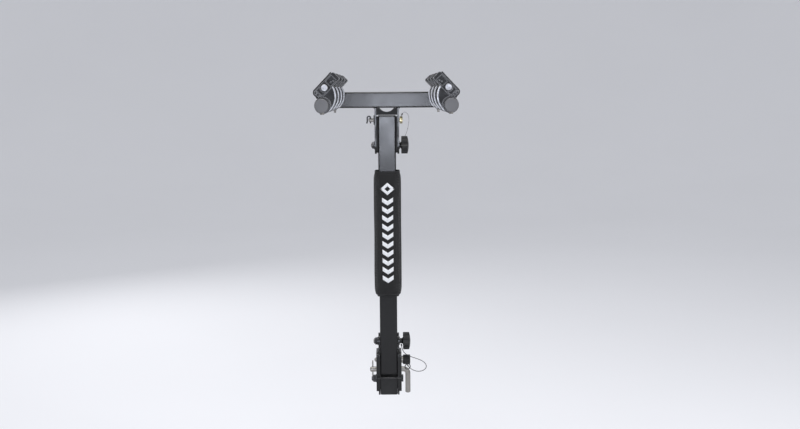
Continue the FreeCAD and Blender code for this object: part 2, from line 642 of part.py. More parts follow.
def cradle_body(band):
    """Moulded block, web and hub of one cradle."""
    w = CRADLE_HALF_W
    u, v = CRADLE_BLOCK_U, CRADLE_BLOCK_V
    beam = uv_plate([(u[0], v[0], 3.0), (u[1], v[0], 4.0), (u[1], v[1], 5.0), (u[0], v[1], 7.0)], w)
    hub = rod(CRADLE_HUB_R, (0, -w, 0), (0, w, 0))
    web_edge = Part.Arc(Vector(45.0, 0, 13.0), Vector(30.9, 0, -8.7), Vector(0, 0, -17.3)).toShape()
    web = Part.Face(Part.Wire([
        web_edge,
        Part.makeLine(Vector(0, 0, -17.3), Vector(-8, 0, 6)),
        Part.makeLine(Vector(-8, 0, 6), Vector(8, 0, 14)),
        Part.makeLine(Vector(8, 0, 14), Vector(45.0, 0, 14)),
        Part.makeLine(Vector(45.0, 0, 14), Vector(45.0, 0, 13.0)),
    ])).extrude(Vector(0, 2 * CRADLE_WEB_HALF_W, 0))
    web.translate(Vector(0, -CRADLE_WEB_HALF_W, 0))
    solid = union([beam, hub, web])
    lug_r, lug_proud = 3.2, 1.5
    lugs = [rod(lug_r, (9.8, -w - lug_proud, v_lug), (9.8, w + lug_proud, v_lug)) for v_lug in (17.2, 31.0)]
    solid = union([solid] + lugs)
    cutters = [
        rod(ARM_R + RUNNING, (0, -w - 3, 0), (0, w + 3, 0)),
        rod(4.0 + SNUG, (STUD_UV[0], -w - 3, STUD_UV[1]), (STUD_UV[0], w + 3, STUD_UV[1])),
        band,
    ]
    window = rectangle((44.0, 63.5), (16.5, 33.0), 2.5)
    window_depth = 10.0
    for side in (-1, 1):
        faces = sorted((side * w * 1.1, side * (w - window_depth)))
        cutters.append(plate(window, "Y", *faces))
        cutters.append(rod(2.8, (10.5, side * (w + 1), 24.2), (10.5, side * (w - 7), 24.2)))
    panel = plate(rectangle((15.0, 30.0), (15.4, 33.8), 1.5), "Y", w - 1.6, w + 1)
    boss = rod(STUD_HEAD_R + 2.2, (STUD_UV[0], w - 2, STUD_UV[1]), (STUD_UV[0], w + 2, STUD_UV[1]))
    panel = panel.cut(boss)
    cutters += [panel, panel.mirror(Vector(0, 0, 0), Vector(0, 1, 0))]
    for pocket_v in ((16.0, 23.3), (25.7, 33.0)):
        cutters.append(block((66.0, 73.0), (-w + 4, w - 4), pocket_v))
    solid = solid.cut(cutters)
    pegs = []
    for peg_u, peg_v in ((51.5, 22.5), (57.5, 20.5)):
        for side in (-1, 1):
            pegs.append(rod(1.7, (peg_u, side * (w - window_depth - 0.5), peg_v),
                            (peg_u, side * (w - 2.0), peg_v)))
    return union([solid] + pegs)


def cradle_stud():
    """Round-headed through stud that the strap's holes hook on."""
    u, v = STUD_UV
    w = CRADLE_HALF_W
    parts = [rod(4.0, (u, -w - 2, v), (u, w + 2, v))]
    for side in (-1, 1):
        head = rod(STUD_HEAD_R, (u, side * w, v), (u, side * (w + 3.2), v))
        rim = [e for e in head.Edges if len(e.Vertexes) == 1 and abs(e.CenterOfMass.y) > w + 3]
        parts.append(head.makeFillet(1.4, rim))
    dimples = [rod(3.4, (u, side * (w + 1.8), v), (u, side * (w + 4), v)) for side in (-1, 1)]
    return union(parts).cut(dimples)


def cradle_strap():
    """Rubber strap lying over the block, anchored round its lower end."""
    top = CRADLE_BLOCK_V[1]
    low_u = CRADLE_BLOCK_U[0]
    half_w = 11.0
    corners = [(low_u - 3.0, 20.0, 1.0), (low_u, 20.0, 0.5), (low_u, top, 7.0), (66.0, top, 1.0),
               (68.5, top + 3.0, 1.0), (low_u - 3.0, top + 3.0, 9.5)]
    strap = uv_plate(corners, half_w)
    return strap.cut([rod(2.6, (hole_u, 0, top - 1), (hole_u, 0, top + 4)) for hole_u in (36.0, 46.0, 56.0)])


def make_cradles():
    """Nodes of all eight cradles. The left arm's are laid out and the right arm's are their mirror images."""
    band = cradle_band()
    pieces = {"body": [cradle_body(band)], "strap": [cradle_strap()], "fittings": [band, cradle_stud()]}
    nodes = {}
    for number in range(CRADLES_PER_ARM):
        y = FIRST_CRADLE_Y - number * CRADLE_PITCH
        place = FreeCAD.Placement(Vector(-ARM_X, y, ARM_Z), Rotation(Vector(0, 1, 0), -CRADLE_TILT))
        for piece, shapes in pieces.items():
            left = [shape.transformed(place.toMatrix(), True) for shape in shapes]
            nodes[f"cradle_left_{number + 1}_{piece}"] = left
            nodes[f"cradle_right_{number + 1}_{piece}"] = [mirrored(shape) for shape in left]
    return nodes


# ---------------------------------------------------------------- assembly

def make_nodes():
    """Every named piece of the rack, as a list of solids."""
    yoke_inner = make_yoke_inner_plate()
    yoke_outer = make_yoke_outer_plate()
    bracket = make_bracket_plate()
    arm = make_arm()
    arm_cap = make_arm_end_cap()
    arm_bolts = make_arm_bolts()
    lower_face = YOKE_INNER_FACE + YOKE_PLATE
    upper_face = BRACKET_INNER_FACE + BRACKET_PLATE
    nodes = {
        "tongue": [make_tongue()],
        "tongue_end_cap": [make_tongue_end_cap()],
        "yoke_base_web": [make_yoke_base_web()],
        "yoke_inner_plate_left": [mirrored(yoke_inner)],
        "yoke_inner_plate_right": [yoke_inner],
        "yoke_outer_plate_left": [mirrored(yoke_outer)],
        "yoke_outer_plate_right": [yoke_outer],
        "yoke_bolt": make_yoke_bolt(),
        "lower_hinge_nut": make_hinge_nut(lower_face, LOWER_HINGE_Z, 2.5, 9.5),
        "hitch_pin": [make_hitch_pin()],
        "hitch_pin_clip": [make_hitch_pin_clip()],
        "mast": [make_mast()],
        "mast_plugs": make_mast_plugs(),
        "mast_side_liners": make_mast_side_liners(),
        "pad_sleeve": [make_pad_sleeve()],
        "lower_knob": [make_knob(LOWER_HINGE_Z, lower_face + 2.6, 41.5, 63.0, 25.5)],
        "lower_knob_stud": [make_knob_stud(LOWER_HINGE_Z, -44.0, 55.0)],
        "upper_knob": [make_knob(UPPER_HINGE_Z, upper_face + 1.9, 40.5, 61.5, 25.5)],
        "upper_knob_stud": [make_knob_stud(UPPER_HINGE_Z, -45.0, 53.5)],
        "lower_lock_pin": [make_lower_lock_pin()],
        "lower_lock_grip": [make_lower_lock_grip()],
        "upper_lock_pin": [make_upper_lock_pin()],
        "upper_lock_head": [make_upper_lock_head()],
        "upper_lock_clip": [make_upper_lock_clip()],
        "upper_lanyard": [bent_rod(UPPER_LANYARD_ROUTE, LANYARD_R, "upper lanyard")],
        "lower_lanyard": [bent_rod(LOWER_LANYARD_ROUTE, LANYARD_R, "lower lanyard")],
        "upper_hinge_nut": make_hinge_nut(upper_face, UPPER_HINGE_Z, 1.8, 7.0),
        "bracket_plate_left": [mirrored(bracket)],
        "bracket_plate_right": [bracket],
        "bracket_web": [make_bracket_web()],
        "crossbar": [make_crossbar()],
        "crossbar_plugs": make_crossbar_plugs(),
        "arm_left": [mirrored(arm)],
        "arm_right": [arm],
        "arm_end_caps": [mirrored(arm_cap), arm_cap],
        "arm_bolts": [mirrored(s) for s in arm_bolts] + arm_bolts,
    }
    nodes.update(make_cradles())
    return nodes


os.makedirs("parts", exist_ok=True)
for node, solids in make_nodes().items():
    for solid in solids:
        if not solid.isValid() or solid.Volume <= 0 or len(solid.Solids) != 1:
            raise ValueError(f"{node} isn't one valid solid: {solid.Volume:.0f} mm3")
    shape = solids[0] if len(solids) == 1 else Part.makeCompound(solids)
    shape.exportStep(f"parts/{node}.step")
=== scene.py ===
"""Looks of the hitch mounted bike rack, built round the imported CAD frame. Metres, in the CAD's own frame."""

import json
import math
import random

import bmesh
import bpy
from mathutils import Matrix, Vector, noise
from mathutils.bvhtree import BVHTree


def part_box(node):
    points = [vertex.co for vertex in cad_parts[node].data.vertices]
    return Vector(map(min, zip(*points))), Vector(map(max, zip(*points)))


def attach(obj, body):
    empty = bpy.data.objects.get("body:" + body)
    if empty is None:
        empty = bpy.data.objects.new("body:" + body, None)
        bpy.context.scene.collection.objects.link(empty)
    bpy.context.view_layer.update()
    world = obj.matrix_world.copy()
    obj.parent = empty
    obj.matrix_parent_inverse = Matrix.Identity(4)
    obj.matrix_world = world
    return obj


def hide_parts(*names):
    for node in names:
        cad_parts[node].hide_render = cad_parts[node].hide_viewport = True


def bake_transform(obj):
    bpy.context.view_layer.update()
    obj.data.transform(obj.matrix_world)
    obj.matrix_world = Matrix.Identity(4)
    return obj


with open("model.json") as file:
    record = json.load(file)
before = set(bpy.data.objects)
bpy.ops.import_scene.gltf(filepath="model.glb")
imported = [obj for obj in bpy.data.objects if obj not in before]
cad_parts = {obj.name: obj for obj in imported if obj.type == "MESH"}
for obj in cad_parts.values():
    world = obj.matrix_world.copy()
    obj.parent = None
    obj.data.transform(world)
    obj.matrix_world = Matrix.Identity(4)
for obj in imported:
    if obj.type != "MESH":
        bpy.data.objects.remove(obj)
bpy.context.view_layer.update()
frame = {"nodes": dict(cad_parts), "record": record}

MM = 0.001
SIDES = {"left": -1, "right": 1}


# ================================================================ places, worked out from the frame

def joint_point(name):
    """Point that a joint turns about, at rest."""
    for joint in frame["record"]["behaviour"]["joints"]:
        if joint["name"] == name:
            return Vector(joint["pos_m"])
    raise KeyError(name)


LOWER_HINGE = joint_point("mast_tilt")
MAST_LOW, MAST_HIGH = (Vector(corner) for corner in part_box("mast"))
PAD_LOW, PAD_HIGH = (Vector(corner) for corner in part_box("pad_sleeve"))
BAR_LOW, BAR_HIGH = (Vector(corner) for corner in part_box("crossbar"))
MAST_MIDDLE = (MAST_LOW + MAST_HIGH) / 2


# ================================================================ materials

class Finish:
    """One procedural material, built up round its Principled shader."""

    def __init__(self, name, **constants):
        self.material = bpy.data.materials.new(name)
        self.material.use_nodes = True
        self.tree = self.material.node_tree
        self.shader = self.tree.nodes["Principled BSDF"]
        self.place = self.node("ShaderNodeTexCoord").outputs["Object"]
        for socket, value in constants.items():
            self.shader.inputs[socket.replace("_", " ")].default_value = value

    def node(self, kind, **settings):
        made = self.tree.nodes.new(kind)
        for key, value in settings.items():
            setattr(made, key, value)
        return made

    def link(self, source, target):
        self.tree.links.new(source, target)

    def stretched(self, scale):
        """Coordinates stretched by a factor on each axis."""
        mapping = self.node("ShaderNodeMapping")
        mapping.inputs["Scale"].default_value = scale
        self.link(self.place, mapping.inputs["Vector"])
        return mapping.outputs["Vector"]

    def noise(self, scale, detail=2.0, place=None):
        made = self.node("ShaderNodeTexNoise")
        made.inputs["Scale"].default_value = scale
        made.inputs["Detail"].default_value = detail
        made.inputs["Roughness"].default_value = 0.5
        self.link(place or self.place, made.inputs["Vector"])
        return made.outputs["Fac"]

    def cells(self, scale):
        made = self.node("ShaderNodeTexVoronoi", feature="F1")
        made.inputs["Scale"].default_value = scale
        self.link(self.place, made.inputs["Vector"])
        return made.outputs["Distance"]

    def wave(self, scale, place, distortion):
        made = self.node("ShaderNodeTexWave", wave_type="BANDS", bands_direction="X", wave_profile="SIN")
        made.inputs["Scale"].default_value = scale
        made.inputs["Distortion"].default_value = distortion
        self.link(place, made.inputs["Vector"])
        return made.outputs["Fac"]

    def math(self, operation, a, b):
        made = self.node("ShaderNodeMath", operation=operation)
        for source, socket in zip((a, b), made.inputs):
            if isinstance(source, (int, float)):
                socket.default_value = source
            else:
                self.link(source, socket)
        return made.outputs["Value"]

    def spread(self, source, low, high, out_low, out_high):
        """Maps a factor between two limits onto two others."""
        made = self.node("ShaderNodeMapRange")
        limits = {"From Min": low, "From Max": high, "To Min": out_low, "To Max": out_high}
        for socket, value in limits.items():
            made.inputs[socket].default_value = value
        self.link(source, made.inputs["Value"])
        return made.outputs["Result"]

    def mix(self, factor, a, b):
        """Colour between a and b, each a colour or a socket."""
        made = self.node("ShaderNodeMix", data_type="RGBA")
        self.link(factor, made.inputs["Factor"])
        sockets = [s for s in made.inputs if s.type == "RGBA"]
        for source, socket in zip((a, b), sockets):
            if isinstance(source, tuple):
                socket.default_value = (*source, 1.0)
            else:
                self.link(source, socket)
        return [s for s in made.outputs if s.type == "RGBA"][0]

    def edges(self, radius, none=0.995, full=0.86):
        """0 on flats and 1 on sharp edges, within a radius in metres. The limits are cosines of the turn."""
        bevel = self.node("ShaderNodeBevel", samples=4)
        bevel.inputs["Radius"].default_value = radius
        true_normal = self.node("ShaderNodeNewGeometry").outputs["True Normal"]
        dot = self.node("ShaderNodeVectorMath", operation="DOT_PRODUCT")
        self.link(bevel.outputs["Normal"], dot.inputs[0])
        self.link(true_normal, dot.inputs[1])
        return self.spread(dot.outputs["Value"], none, full, 0.0, 1.0)

    def colour(self, source):
        self.link(source, self.shader.inputs["Base Color"])

    def rough(self, source):
        self.link(source, self.shader.inputs["Roughness"])

    def bumps(self, layers, soften=0.0):
        """Stacks (height, distance) bumps on a normal softened over the given radius."""
        normal = None
        if soften:
            bevel = self.node("ShaderNodeBevel", samples=4)
            bevel.inputs["Radius"].default_value = soften
            normal = bevel.outputs["Normal"]
        for height, distance in layers:
            bump = self.node("ShaderNodeBump")
            bump.inputs["Strength"].default_value = 1.0
            bump.inputs["Distance"].default_value = distance
            self.link(height, bump.inputs["Height"])
            if normal is not None:
                self.link(normal, bump.inputs["Normal"])
            normal = bump.outputs["Normal"]
        self.link(normal, self.shader.inputs["Normal"])


def grey(value):
    """Grey with a faint blue cast."""
    return (value, value, value * 1.03)


def powder_coat(name, smoothest, roughest):
    """Black powder coat: orange peel, a cloudy tone and slightly worn edges."""
    f = Finish(name, Specular_IOR_Level=0.28)
    cloud = f.noise(9.0, 4.0)
    tone = f.mix(cloud, grey(0.0085), grey(0.014))
    worn = f.math("MULTIPLY", f.edges(0.0012), f.spread(f.noise(60.0, 3.0), 0.35, 0.75, 0.15, 0.9))
    f.colour(f.mix(worn, tone, grey(0.05)))
    f.rough(f.spread(f.noise(22.0, 3.0), 0.3, 0.7, smoothest, roughest))
    f.bumps([(f.noise(420.0, 2.0), 0.00007), (f.noise(2200.0, 1.0), 0.00002)], soften=0.0012)
    return f.material


def moulded_plastic(name, dark, light, rough, edge, grain=1500.0, highlight_width=0.0009, specular=0.5):
    """Moulded plastic with a fine spark-eroded grain, and its edges painted paler as a painted highlight."""
    f = Finish(name, Specular_IOR_Level=specular)
    tone = f.mix(f.noise(35.0, 3.0), grey(dark), grey(light))
    # Painted highlight: along the edges the colour is lifted towards the edge grey, standing in for light
    # caught there.
    painted_highlight = f.math("MULTIPLY", f.edges(highlight_width, 0.992, 0.93), 0.8)
    f.colour(f.mix(painted_highlight, tone, grey(edge)))
    f.rough(f.spread(f.noise(80.0, 2.0), 0.3, 0.7, rough - 0.06, rough + 0.08))
    f.bumps([(f.cells(grain), 0.00009), (f.noise(grain * 0.3, 2.0), 0.00008)], soften=0.0007)
    return f.material


def metal(name, dark, light, rough, brushed=(1.0, 14.0, 1.0)):
    """Plated or brushed steel with fine drawing marks and uneven polish."""
    f = Finish(name, Metallic=1.0)
    lines = f.noise(260.0, 2.0, f.stretched(brushed))
    f.colour(f.mix(f.noise(40.0, 4.0), dark, light))
    marks = f.math("ADD", f.math("MULTIPLY", lines, 0.16), f.math("MULTIPLY", f.noise(70.0, 3.0), 0.14))
    f.rough(f.spread(marks, 0.1, 0.2, rough - 0.07, rough + 0.09))
    f.bumps([(lines, 0.00003), (f.noise(900.0, 2.0), 0.00002)], soften=0.0005)
    return f.material


def rubber():
    """Matt rubber with a cloudy tone and a fine moulded texture."""
    f = Finish("strap_rubber")
    f.colour(f.mix(f.noise(45.0, 4.0), grey(0.012), grey(0.024)))
    f.rough(f.spread(f.noise(120.0, 2.0), 0.3, 0.7, 0.52, 0.68))
    f.bumps([(f.noise(1400.0, 2.0), 0.00006), (f.noise(160.0, 2.0), 0.0001)])
    return f.material


def knitted(name, dark, light, pitch, depth):
    """Knitted face fabric: fine courses and wales, with a soft nap."""
    f = Finish(name, Sheen_Weight=0.12, Sheen_Roughness=0.45)
    round_mast = f.node("ShaderNodeMapping")
    round_mast.inputs["Rotation"].default_value = (0.0, 0.0, math.radians(45))
    f.link(f.place, round_mast.inputs["Vector"])
    upright = f.node("ShaderNodeMapping")
    upright.inputs["Rotation"].default_value = (0.0, math.radians(90), 0.0)
    f.link(f.place, upright.inputs["Vector"])
    bands_per_metre = 1.0 / pitch / (2 * math.pi) * 2
    wales = f.wave(bands_per_metre * 3.0, round_mast.outputs["Vector"], 0.6)
    courses = f.wave(bands_per_metre * 2.2, upright.outputs["Vector"], 0.8)
    knit = f.math("MULTIPLY", wales, courses)
    fuzz = f.noise(2600.0, 3.0)
    tone = f.math("ADD", f.math("MULTIPLY", knit, 0.6), f.math("MULTIPLY", f.noise(24.0, 4.0), 0.4))
    f.colour(f.mix(tone, grey(dark), grey(light)))
    f.rough(f.spread(fuzz, 0.3, 0.7, 0.78, 0.92))
    f.bumps([(f.noise(30.0, 3.0), 0.0012), (knit, depth), (fuzz, 0.00008)])
    return f.material


def printed_film():
    """White printed film with a fine tooth and slight wear."""
    f = Finish("print_white")
    worn = f.spread(f.noise(420.0, 4.0), 0.58, 0.72, 0.0, 0.75)
    f.colour(f.mix(worn, (0.78, 0.79, 0.80), (0.34, 0.34, 0.35)))
    f.rough(f.spread(f.noise(150.0, 2.0), 0.3, 0.7, 0.42, 0.6))
    f.bumps([(f.noise(900.0, 2.0), 0.00012)])
    return f.material


def yellow_zinc():
    """Yellow passivated zinc with faint pinkish clouds."""
    f = Finish("yellow_zinc", Metallic=1.0)
    gold = f.mix(f.noise(90.0, 3.0), (0.44, 0.37, 0.20), (0.54, 0.48, 0.31))
    f.colour(f.mix(f.spread(f.noise(55.0, 2.0), 0.45, 0.75, 0.0, 0.6), gold, (0.42, 0.38, 0.39)))
    f.rough(f.spread(f.noise(120.0, 3.0), 0.3, 0.7, 0.24, 0.38))
    f.bumps([(f.noise(500.0, 2.0), 0.00003)], soften=0.0006)
    return f.material


def floor_paint():
    """Pale paint that turns grey far to the left and right, which gives dark bodies their edges."""
    f = Finish("studio_floor", Specular_IOR_Level=0.1)
    parts = f.node("ShaderNodeSeparateXYZ")
    f.link(f.place, parts.inputs["Vector"])
    sideways = f.math("SUBTRACT", f.math("ABSOLUTE", parts.outputs["X"], 0.0),
                      f.math("MULTIPLY", f.math("ABSOLUTE", parts.outputs["Y"], 0.0), 0.55))
    grey_part = f.spread(sideways, 1.5, 7.0, 0.0, 1.0)
    pale = f.mix(f.noise(0.8, 2.0), grey(0.84), grey(0.87))
    f.colour(f.mix(grey_part, pale, grey(0.34)))
    f.rough(f.spread(f.noise(3.0, 2.0), 0.3, 0.7, 0.8, 0.95))
    return f.material


FINISHES = {
    "black_coat": powder_coat("black_coat", 0.20, 0.245),
    "zinc": metal("zinc", (0.24, 0.23, 0.215), (0.35, 0.335, 0.315), 0.36),
    "black_zinc": metal("black_zinc", (0.045, 0.045, 0.048), (0.085, 0.085, 0.09), 0.30),
    "yellow_zinc": yellow_zinc(),
    "band_steel": metal("band_steel", (0.28, 0.28, 0.29), (0.40, 0.40, 0.41), 0.42),
    # The cradles' edges carry a strong painted highlight: pale 0.40 grey on a near-black body.
    "cradle_plastic": moulded_plastic("cradle_plastic", 0.007, 0.012, 0.32, 0.40, highlight_width=0.0028,
                                      specular=0.22),
    "strap_rubber": rubber(),
    "knob_plastic": moulded_plastic("knob_plastic", 0.006, 0.011, 0.44, 0.03, grain=1200.0, specular=0.35),
    "plug_plastic": moulded_plastic("plug_plastic", 0.010, 0.016, 0.5, 0.03, specular=0.35),
    "cap_grey": moulded_plastic("cap_grey", 0.12, 0.15, 0.5, 0.2, grain=900.0),
    "nylon": moulded_plastic("nylon", 0.010, 0.016, 0.5, 0.03, specular=0.3),
    "pad_fabric": knitted("pad_fabric", 0.0035, 0.009, 0.0016, 0.00035),
    "wire_bright": metal("wire_bright", (0.5, 0.5, 0.51), (0.7, 0.7, 0.71), 0.3, (1.0, 1.0, 1.0)),
    "wire_dark": metal("wire_dark", (0.05, 0.05, 0.052), (0.10, 0.10, 0.104), 0.38, (1.0, 1.0, 1.0)),
}
BINDING = knitted("pad_binding", 0.006, 0.014, 0.0011, 0.00025)
PRINT = printed_film()
THREAD = knitted("stitch_thread", 0.03, 0.05, 0.0006, 0.0001)
DULL_COAT = powder_coat("dull_coat", 0.50, 0.60)
WELD = metal("weld_coat", (0.02, 0.02, 0.021), (0.035, 0.035, 0.036), 0.42)
# The weld beads are coated over, so they don't shine like bare metal.
WELD.node_tree.nodes["Principled BSDF"].inputs["Metallic"].default_value = 0.0

for subpart in frame["record"]["subparts"]:
    for material_slot in frame["nodes"][subpart["node"]].material_slots:
        material_slot.material = FINISHES[subpart["material_slot"]]
frame["nodes"]["bracket_web"].material_slots[0].material = DULL_COAT


# ================================================================ mesh helpers

def shade_smooth(mesh):
    for polygon in mesh.polygons:
        polygon.use_smooth = True


def add_object(name, mesh, body, material):
    """Links a mesh as a named piece with the given finish, riding on a body if one is given."""
    obj = bpy.data.objects.new(name, mesh)
    bpy.context.scene.collection.objects.link(obj)
    mesh.materials.append(material)
    shade_smooth(mesh)
    if body:
        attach(obj, body)
    return obj


def mesh_from(name, vertices, faces):
    """Mesh whose faces all look outward."""
    mesh = bpy.data.meshes.new(name)
    mesh.from_pydata([tuple(v) for v in vertices], [], faces)
    mesh.validate()
    tidy = bmesh.new()
    tidy.from_mesh(mesh)
    bmesh.ops.recalc_face_normals(tidy, faces=tidy.faces)
    tidy.to_mesh(mesh)
    tidy.free()
    return mesh


def apply_modifiers(obj):
    """Replaces an object's mesh by what its modifiers make of it."""
    made = bpy.data.meshes.new_from_object(obj.evaluated_get(bpy.context.evaluated_depsgraph_get()))
    obj.modifiers.clear()
    obj.data = made
    shade_smooth(made)


def curve_points(route):
    """Points along the smooth NURBS line whose control points are the route."""
    curve = bpy.data.curves.new("route", "CURVE")
    curve.dimensions = "3D"
    spline = curve.splines.new("NURBS")
    spline.points.add(len(route) - 1)
    for point, place in zip(spline.points, route):
        point.co = (*place, 1.0)
    spline.order_u = 3
    spline.use_endpoint_u = True
    spline.resolution_u = 10
    holder = bpy.data.objects.new("route", curve)
    bpy.context.scene.collection.objects.link(holder)
    line = bpy.data.meshes.new_from_object(holder.evaluated_get(bpy.context.evaluated_depsgraph_get()))
    points = [v.co.copy() for v in line.vertices]
    bpy.data.objects.remove(holder)
    bpy.data.meshes.remove(line)
    return points


def resampled(points, step):
    """The same line with points at even steps."""
    lengths = [0.0]
    for a, b in zip(points, points[1:]):
        lengths.append(lengths[-1] + (b - a).length)
    count = max(2, round(lengths[-1] / step))
    made, i = [], 0
    for k in range(count + 1):
        target = lengths[-1] * k / count
        while i < len(points) - 2 and lengths[i + 1] < target:
            i += 1
        share = (target - lengths[i]) / max(lengths[i + 1] - lengths[i], 1e-12)
        made.append(points[i].lerp(points[i + 1], share))
    return made


def band_faces(rings, around):
    """Faces that join rings of points one after another."""
    faces = []
    for i in range(rings - 1):
        for k in range(around):
            a, b = i * around + k, i * around + (k + 1) % around
            faces.append((a, b, b + around, a + around))
    return faces


def capped_faces(rings, around):
    """Faces of a tube made of rings of points, with a cap on its first and last ring."""
    first = tuple(range(around - 1, -1, -1))
    last = tuple(range((rings - 1) * around, rings * around))
    return band_faces(rings, around) + [first, last]


def looped_faces(rings, around):
    """Faces that join rings of points, with the last ring joined back to the first."""
    faces = []
    for i in range(rings):
        for k in range(around):
            a, b = i * around + k, i * around + (k + 1) % around
            c, d = (i + 1) % rings * around + k, (i + 1) % rings * around + (k + 1) % around
            faces.append((a, b, d, c))
    return faces


def tube_mesh(name, points, radius, sides, lobes=0, lobe_depth=0.0, pitch=0.01, scale_at=None):
    """Closed tube along points, with its radius scaled by scale_at(distance).

    Lobes twist round it like the strands of a wire."""
    across = (points[1] - points[0]).orthogonal().normalized()
    vertices = []
    travelled = 0.0
    for i, point in enumerate(points):
        ahead = points[min(i + 1, len(points) - 1)] - points[max(i - 1, 0)]
        ahead.normalize()
        across = (across - ahead * across.dot(ahead)).normalized()
        beside = ahead.cross(across)
        if i:
            travelled += (point - points[i - 1]).length
        for k in range(sides):
            turn = 2 * math.pi * k / sides
            r = radius * (scale_at(travelled) if scale_at else 1.0)
            if lobes:
                twist = lobes * turn - 2 * math.pi * travelled / pitch * lobes
                r *= 1.0 - lobe_depth * (0.5 - 0.5 * math.cos(twist))
            vertices.append(point + (across * math.cos(turn) + beside * math.sin(turn)) * r)
    return mesh_from(name, vertices, capped_faces(len(points), sides))


def spun(profile, centre, axis, steps):
    """Vertices and faces of a closed shape whose (distance along, radius) profile is spun about an axis."""
    axis = Vector(axis).normalized()
    across = axis.orthogonal().normalized()
    beside = axis.cross(across)
    vertices = []
    for along, radius in profile:
        for k in range(steps):
            turn = 2 * math.pi * k / steps
            offset = (across * math.cos(turn) + beside * math.sin(turn)) * radius
            vertices.append(Vector(centre) + axis * along + offset)
    return vertices, capped_faces(len(profile), steps)


def ring_spun(profile, centre, steps):
    """Vertices and faces of a closed ring whose (height, radius) section is spun about Z."""
    vertices = []
    for k in range(steps):
        turn = 2 * math.pi * k / steps
        for rise, radius in profile:
            vertices.append(Vector(centre) + Vector((radius * math.cos(turn), radius * math.sin(turn), rise)))
    return vertices, looped_faces(steps, len(profile))


def merged(parts):
    """One list of vertices and faces from several."""
    vertices, faces = [], []
    for part_vertices, part_faces in parts:
        base = len(vertices)
        vertices.extend(part_vertices)
        faces.extend(tuple(i + base for i in face) for face in part_faces)
    return vertices, faces


# ================================================================ lanyards

UPPER_ROUTE = [(x * MM, y * MM, z * MM) for x, y, z in (
    (41.5, -150.0, 781.0), (43.0, -150.0, 787.0), (51.0, -149.0, 791.5), (59.0, -148.0, 787.0),
    (63.0, -146.0, 775.0), (62.5, -142.0, 759.0), (59.0, -136.0, 741.0), (53.0, -128.0, 725.0),
    (46.5, -122.5, 711.0), (39.5, -122.5, 700.0), (38.1, -130.0, 693.0), (38.1, -139.0, 694.0),
)]
LOWER_ROUTE = [(x * MM, y * MM, z * MM) for x, y, z in (
    (36.5, -150.0, 119.5), (37.5, -152.0, 109.0), (43.0, -158.0, 96.0), (56.0, -165.0, 88.0),
    (74.0, -169.0, 82.5), (91.0, -171.0, 77.0), (105.0, -170.0, 68.0), (110.0, -166.0, 54.0),
    (101.0, -161.0, 42.0), (85.0, -158.0, 38.0), (69.0, -155.0, 42.0), (58.0, -152.0, 50.0),
    (53.0, -150.0, 57.2),
)]
WIRE_RADIUS = 0.001
WIRE_STEP = 0.0007
CRIMP_STEPS = 12               # steps along the wire that set which way a crimp points


def crimp(name, start, towards, body, slot):
    """Pressed sleeve on a lanyard, with the ridges that the press leaves."""
    length, radius, ridges, ridge_pitch = 0.007, 0.0021, 6, 0.0009
    profile = [(0.0, WIRE_RADIUS * 1.05), (0.0, radius * 0.8), (0.0004, radius)]
    for k in range(ridges):
        along = 0.0008 + k * ridge_pitch
        profile += [(along, radius), (along + 0.00035, radius * 0.88), (along + 0.0007, radius)]
    profile += [(length - 0.0004, radius), (length, radius * 0.8), (length, WIRE_RADIUS * 1.05)]
    vertices, faces = spun(profile, start, towards, 20)
    return add_object(name, mesh_from(name, vertices, faces), body, FINISHES[slot])


def lanyard(node, route, slot, pin_body, pin_first, knob_slot="zinc"):
    """Stranded wire from a knob's neck to its lock pin, with a crimp at each end.

    The crimp at the pin rides on the pin and the one at the knob on the mast; the wire itself rides on no
    body."""
    line = resampled(curve_points(route), WIRE_STEP)
    mesh = tube_mesh(node + "_wire", line, WIRE_RADIUS, sides=18, lobes=6, lobe_depth=0.16, pitch=0.009)
    wire = add_object(node + "_wire", mesh, None, FINISHES[slot])
    ends = {True: (line[0], line[CRIMP_STEPS] - line[0]),
            False: (line[-1], line[-1 - CRIMP_STEPS] - line[-1])}
    pin_crimp = crimp(node + "_pin_crimp", *ends[pin_first], pin_body, "zinc")
    knob_crimp = crimp(node + "_knob_crimp", *ends[not pin_first], "mast", knob_slot)
    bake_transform(wire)
    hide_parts(node)


lanyard("upper_lanyard", UPPER_ROUTE, "wire_bright", "upper_lock_pin", True)
lanyard("lower_lanyard", LOWER_ROUTE, "wire_dark", "lower_lock_pin", False,
        knob_slot="black_zinc")


# ================================================================ pad

def rounded_square(half, corner, count):
    """Points round a square of rounded corners, evenly spaced, about the mast's axis."""
    straight = 2 * (half - corner)
    arc = math.pi / 2 * corner
    perimeter = 4 * (straight + arc)
    points = []
    for k in range(count):
        along = perimeter * k / count
        side, along = divmod(along, straight + arc)
        if along < straight:
            x, y = -half + corner + along, -half
        else:
            turn = (along - straight) / corner
            x = half - corner + corner * math.sin(turn)
            y = -half + corner - corner * math.cos(turn)
        for _ in range(int(side)):
            x, y = -y, x
        points.append((x, y))
    return points


PAD_AROUND = 96
PAD_WALL_START = 0.0358        # half width of the sewn sleeve before its foam swells
PAD_INSIDE = 0.0253
PAD_SWELL_CAP = 0.0026         # farthest that the simulation may push a point
PAD_CORNER = 0.0125
PAD_INNER_CORNER = 0.0035
RAY_START = 0.2                # distance from the mast's axis that is clear of the pad on every side
STITCH_PITCH = 0.0042


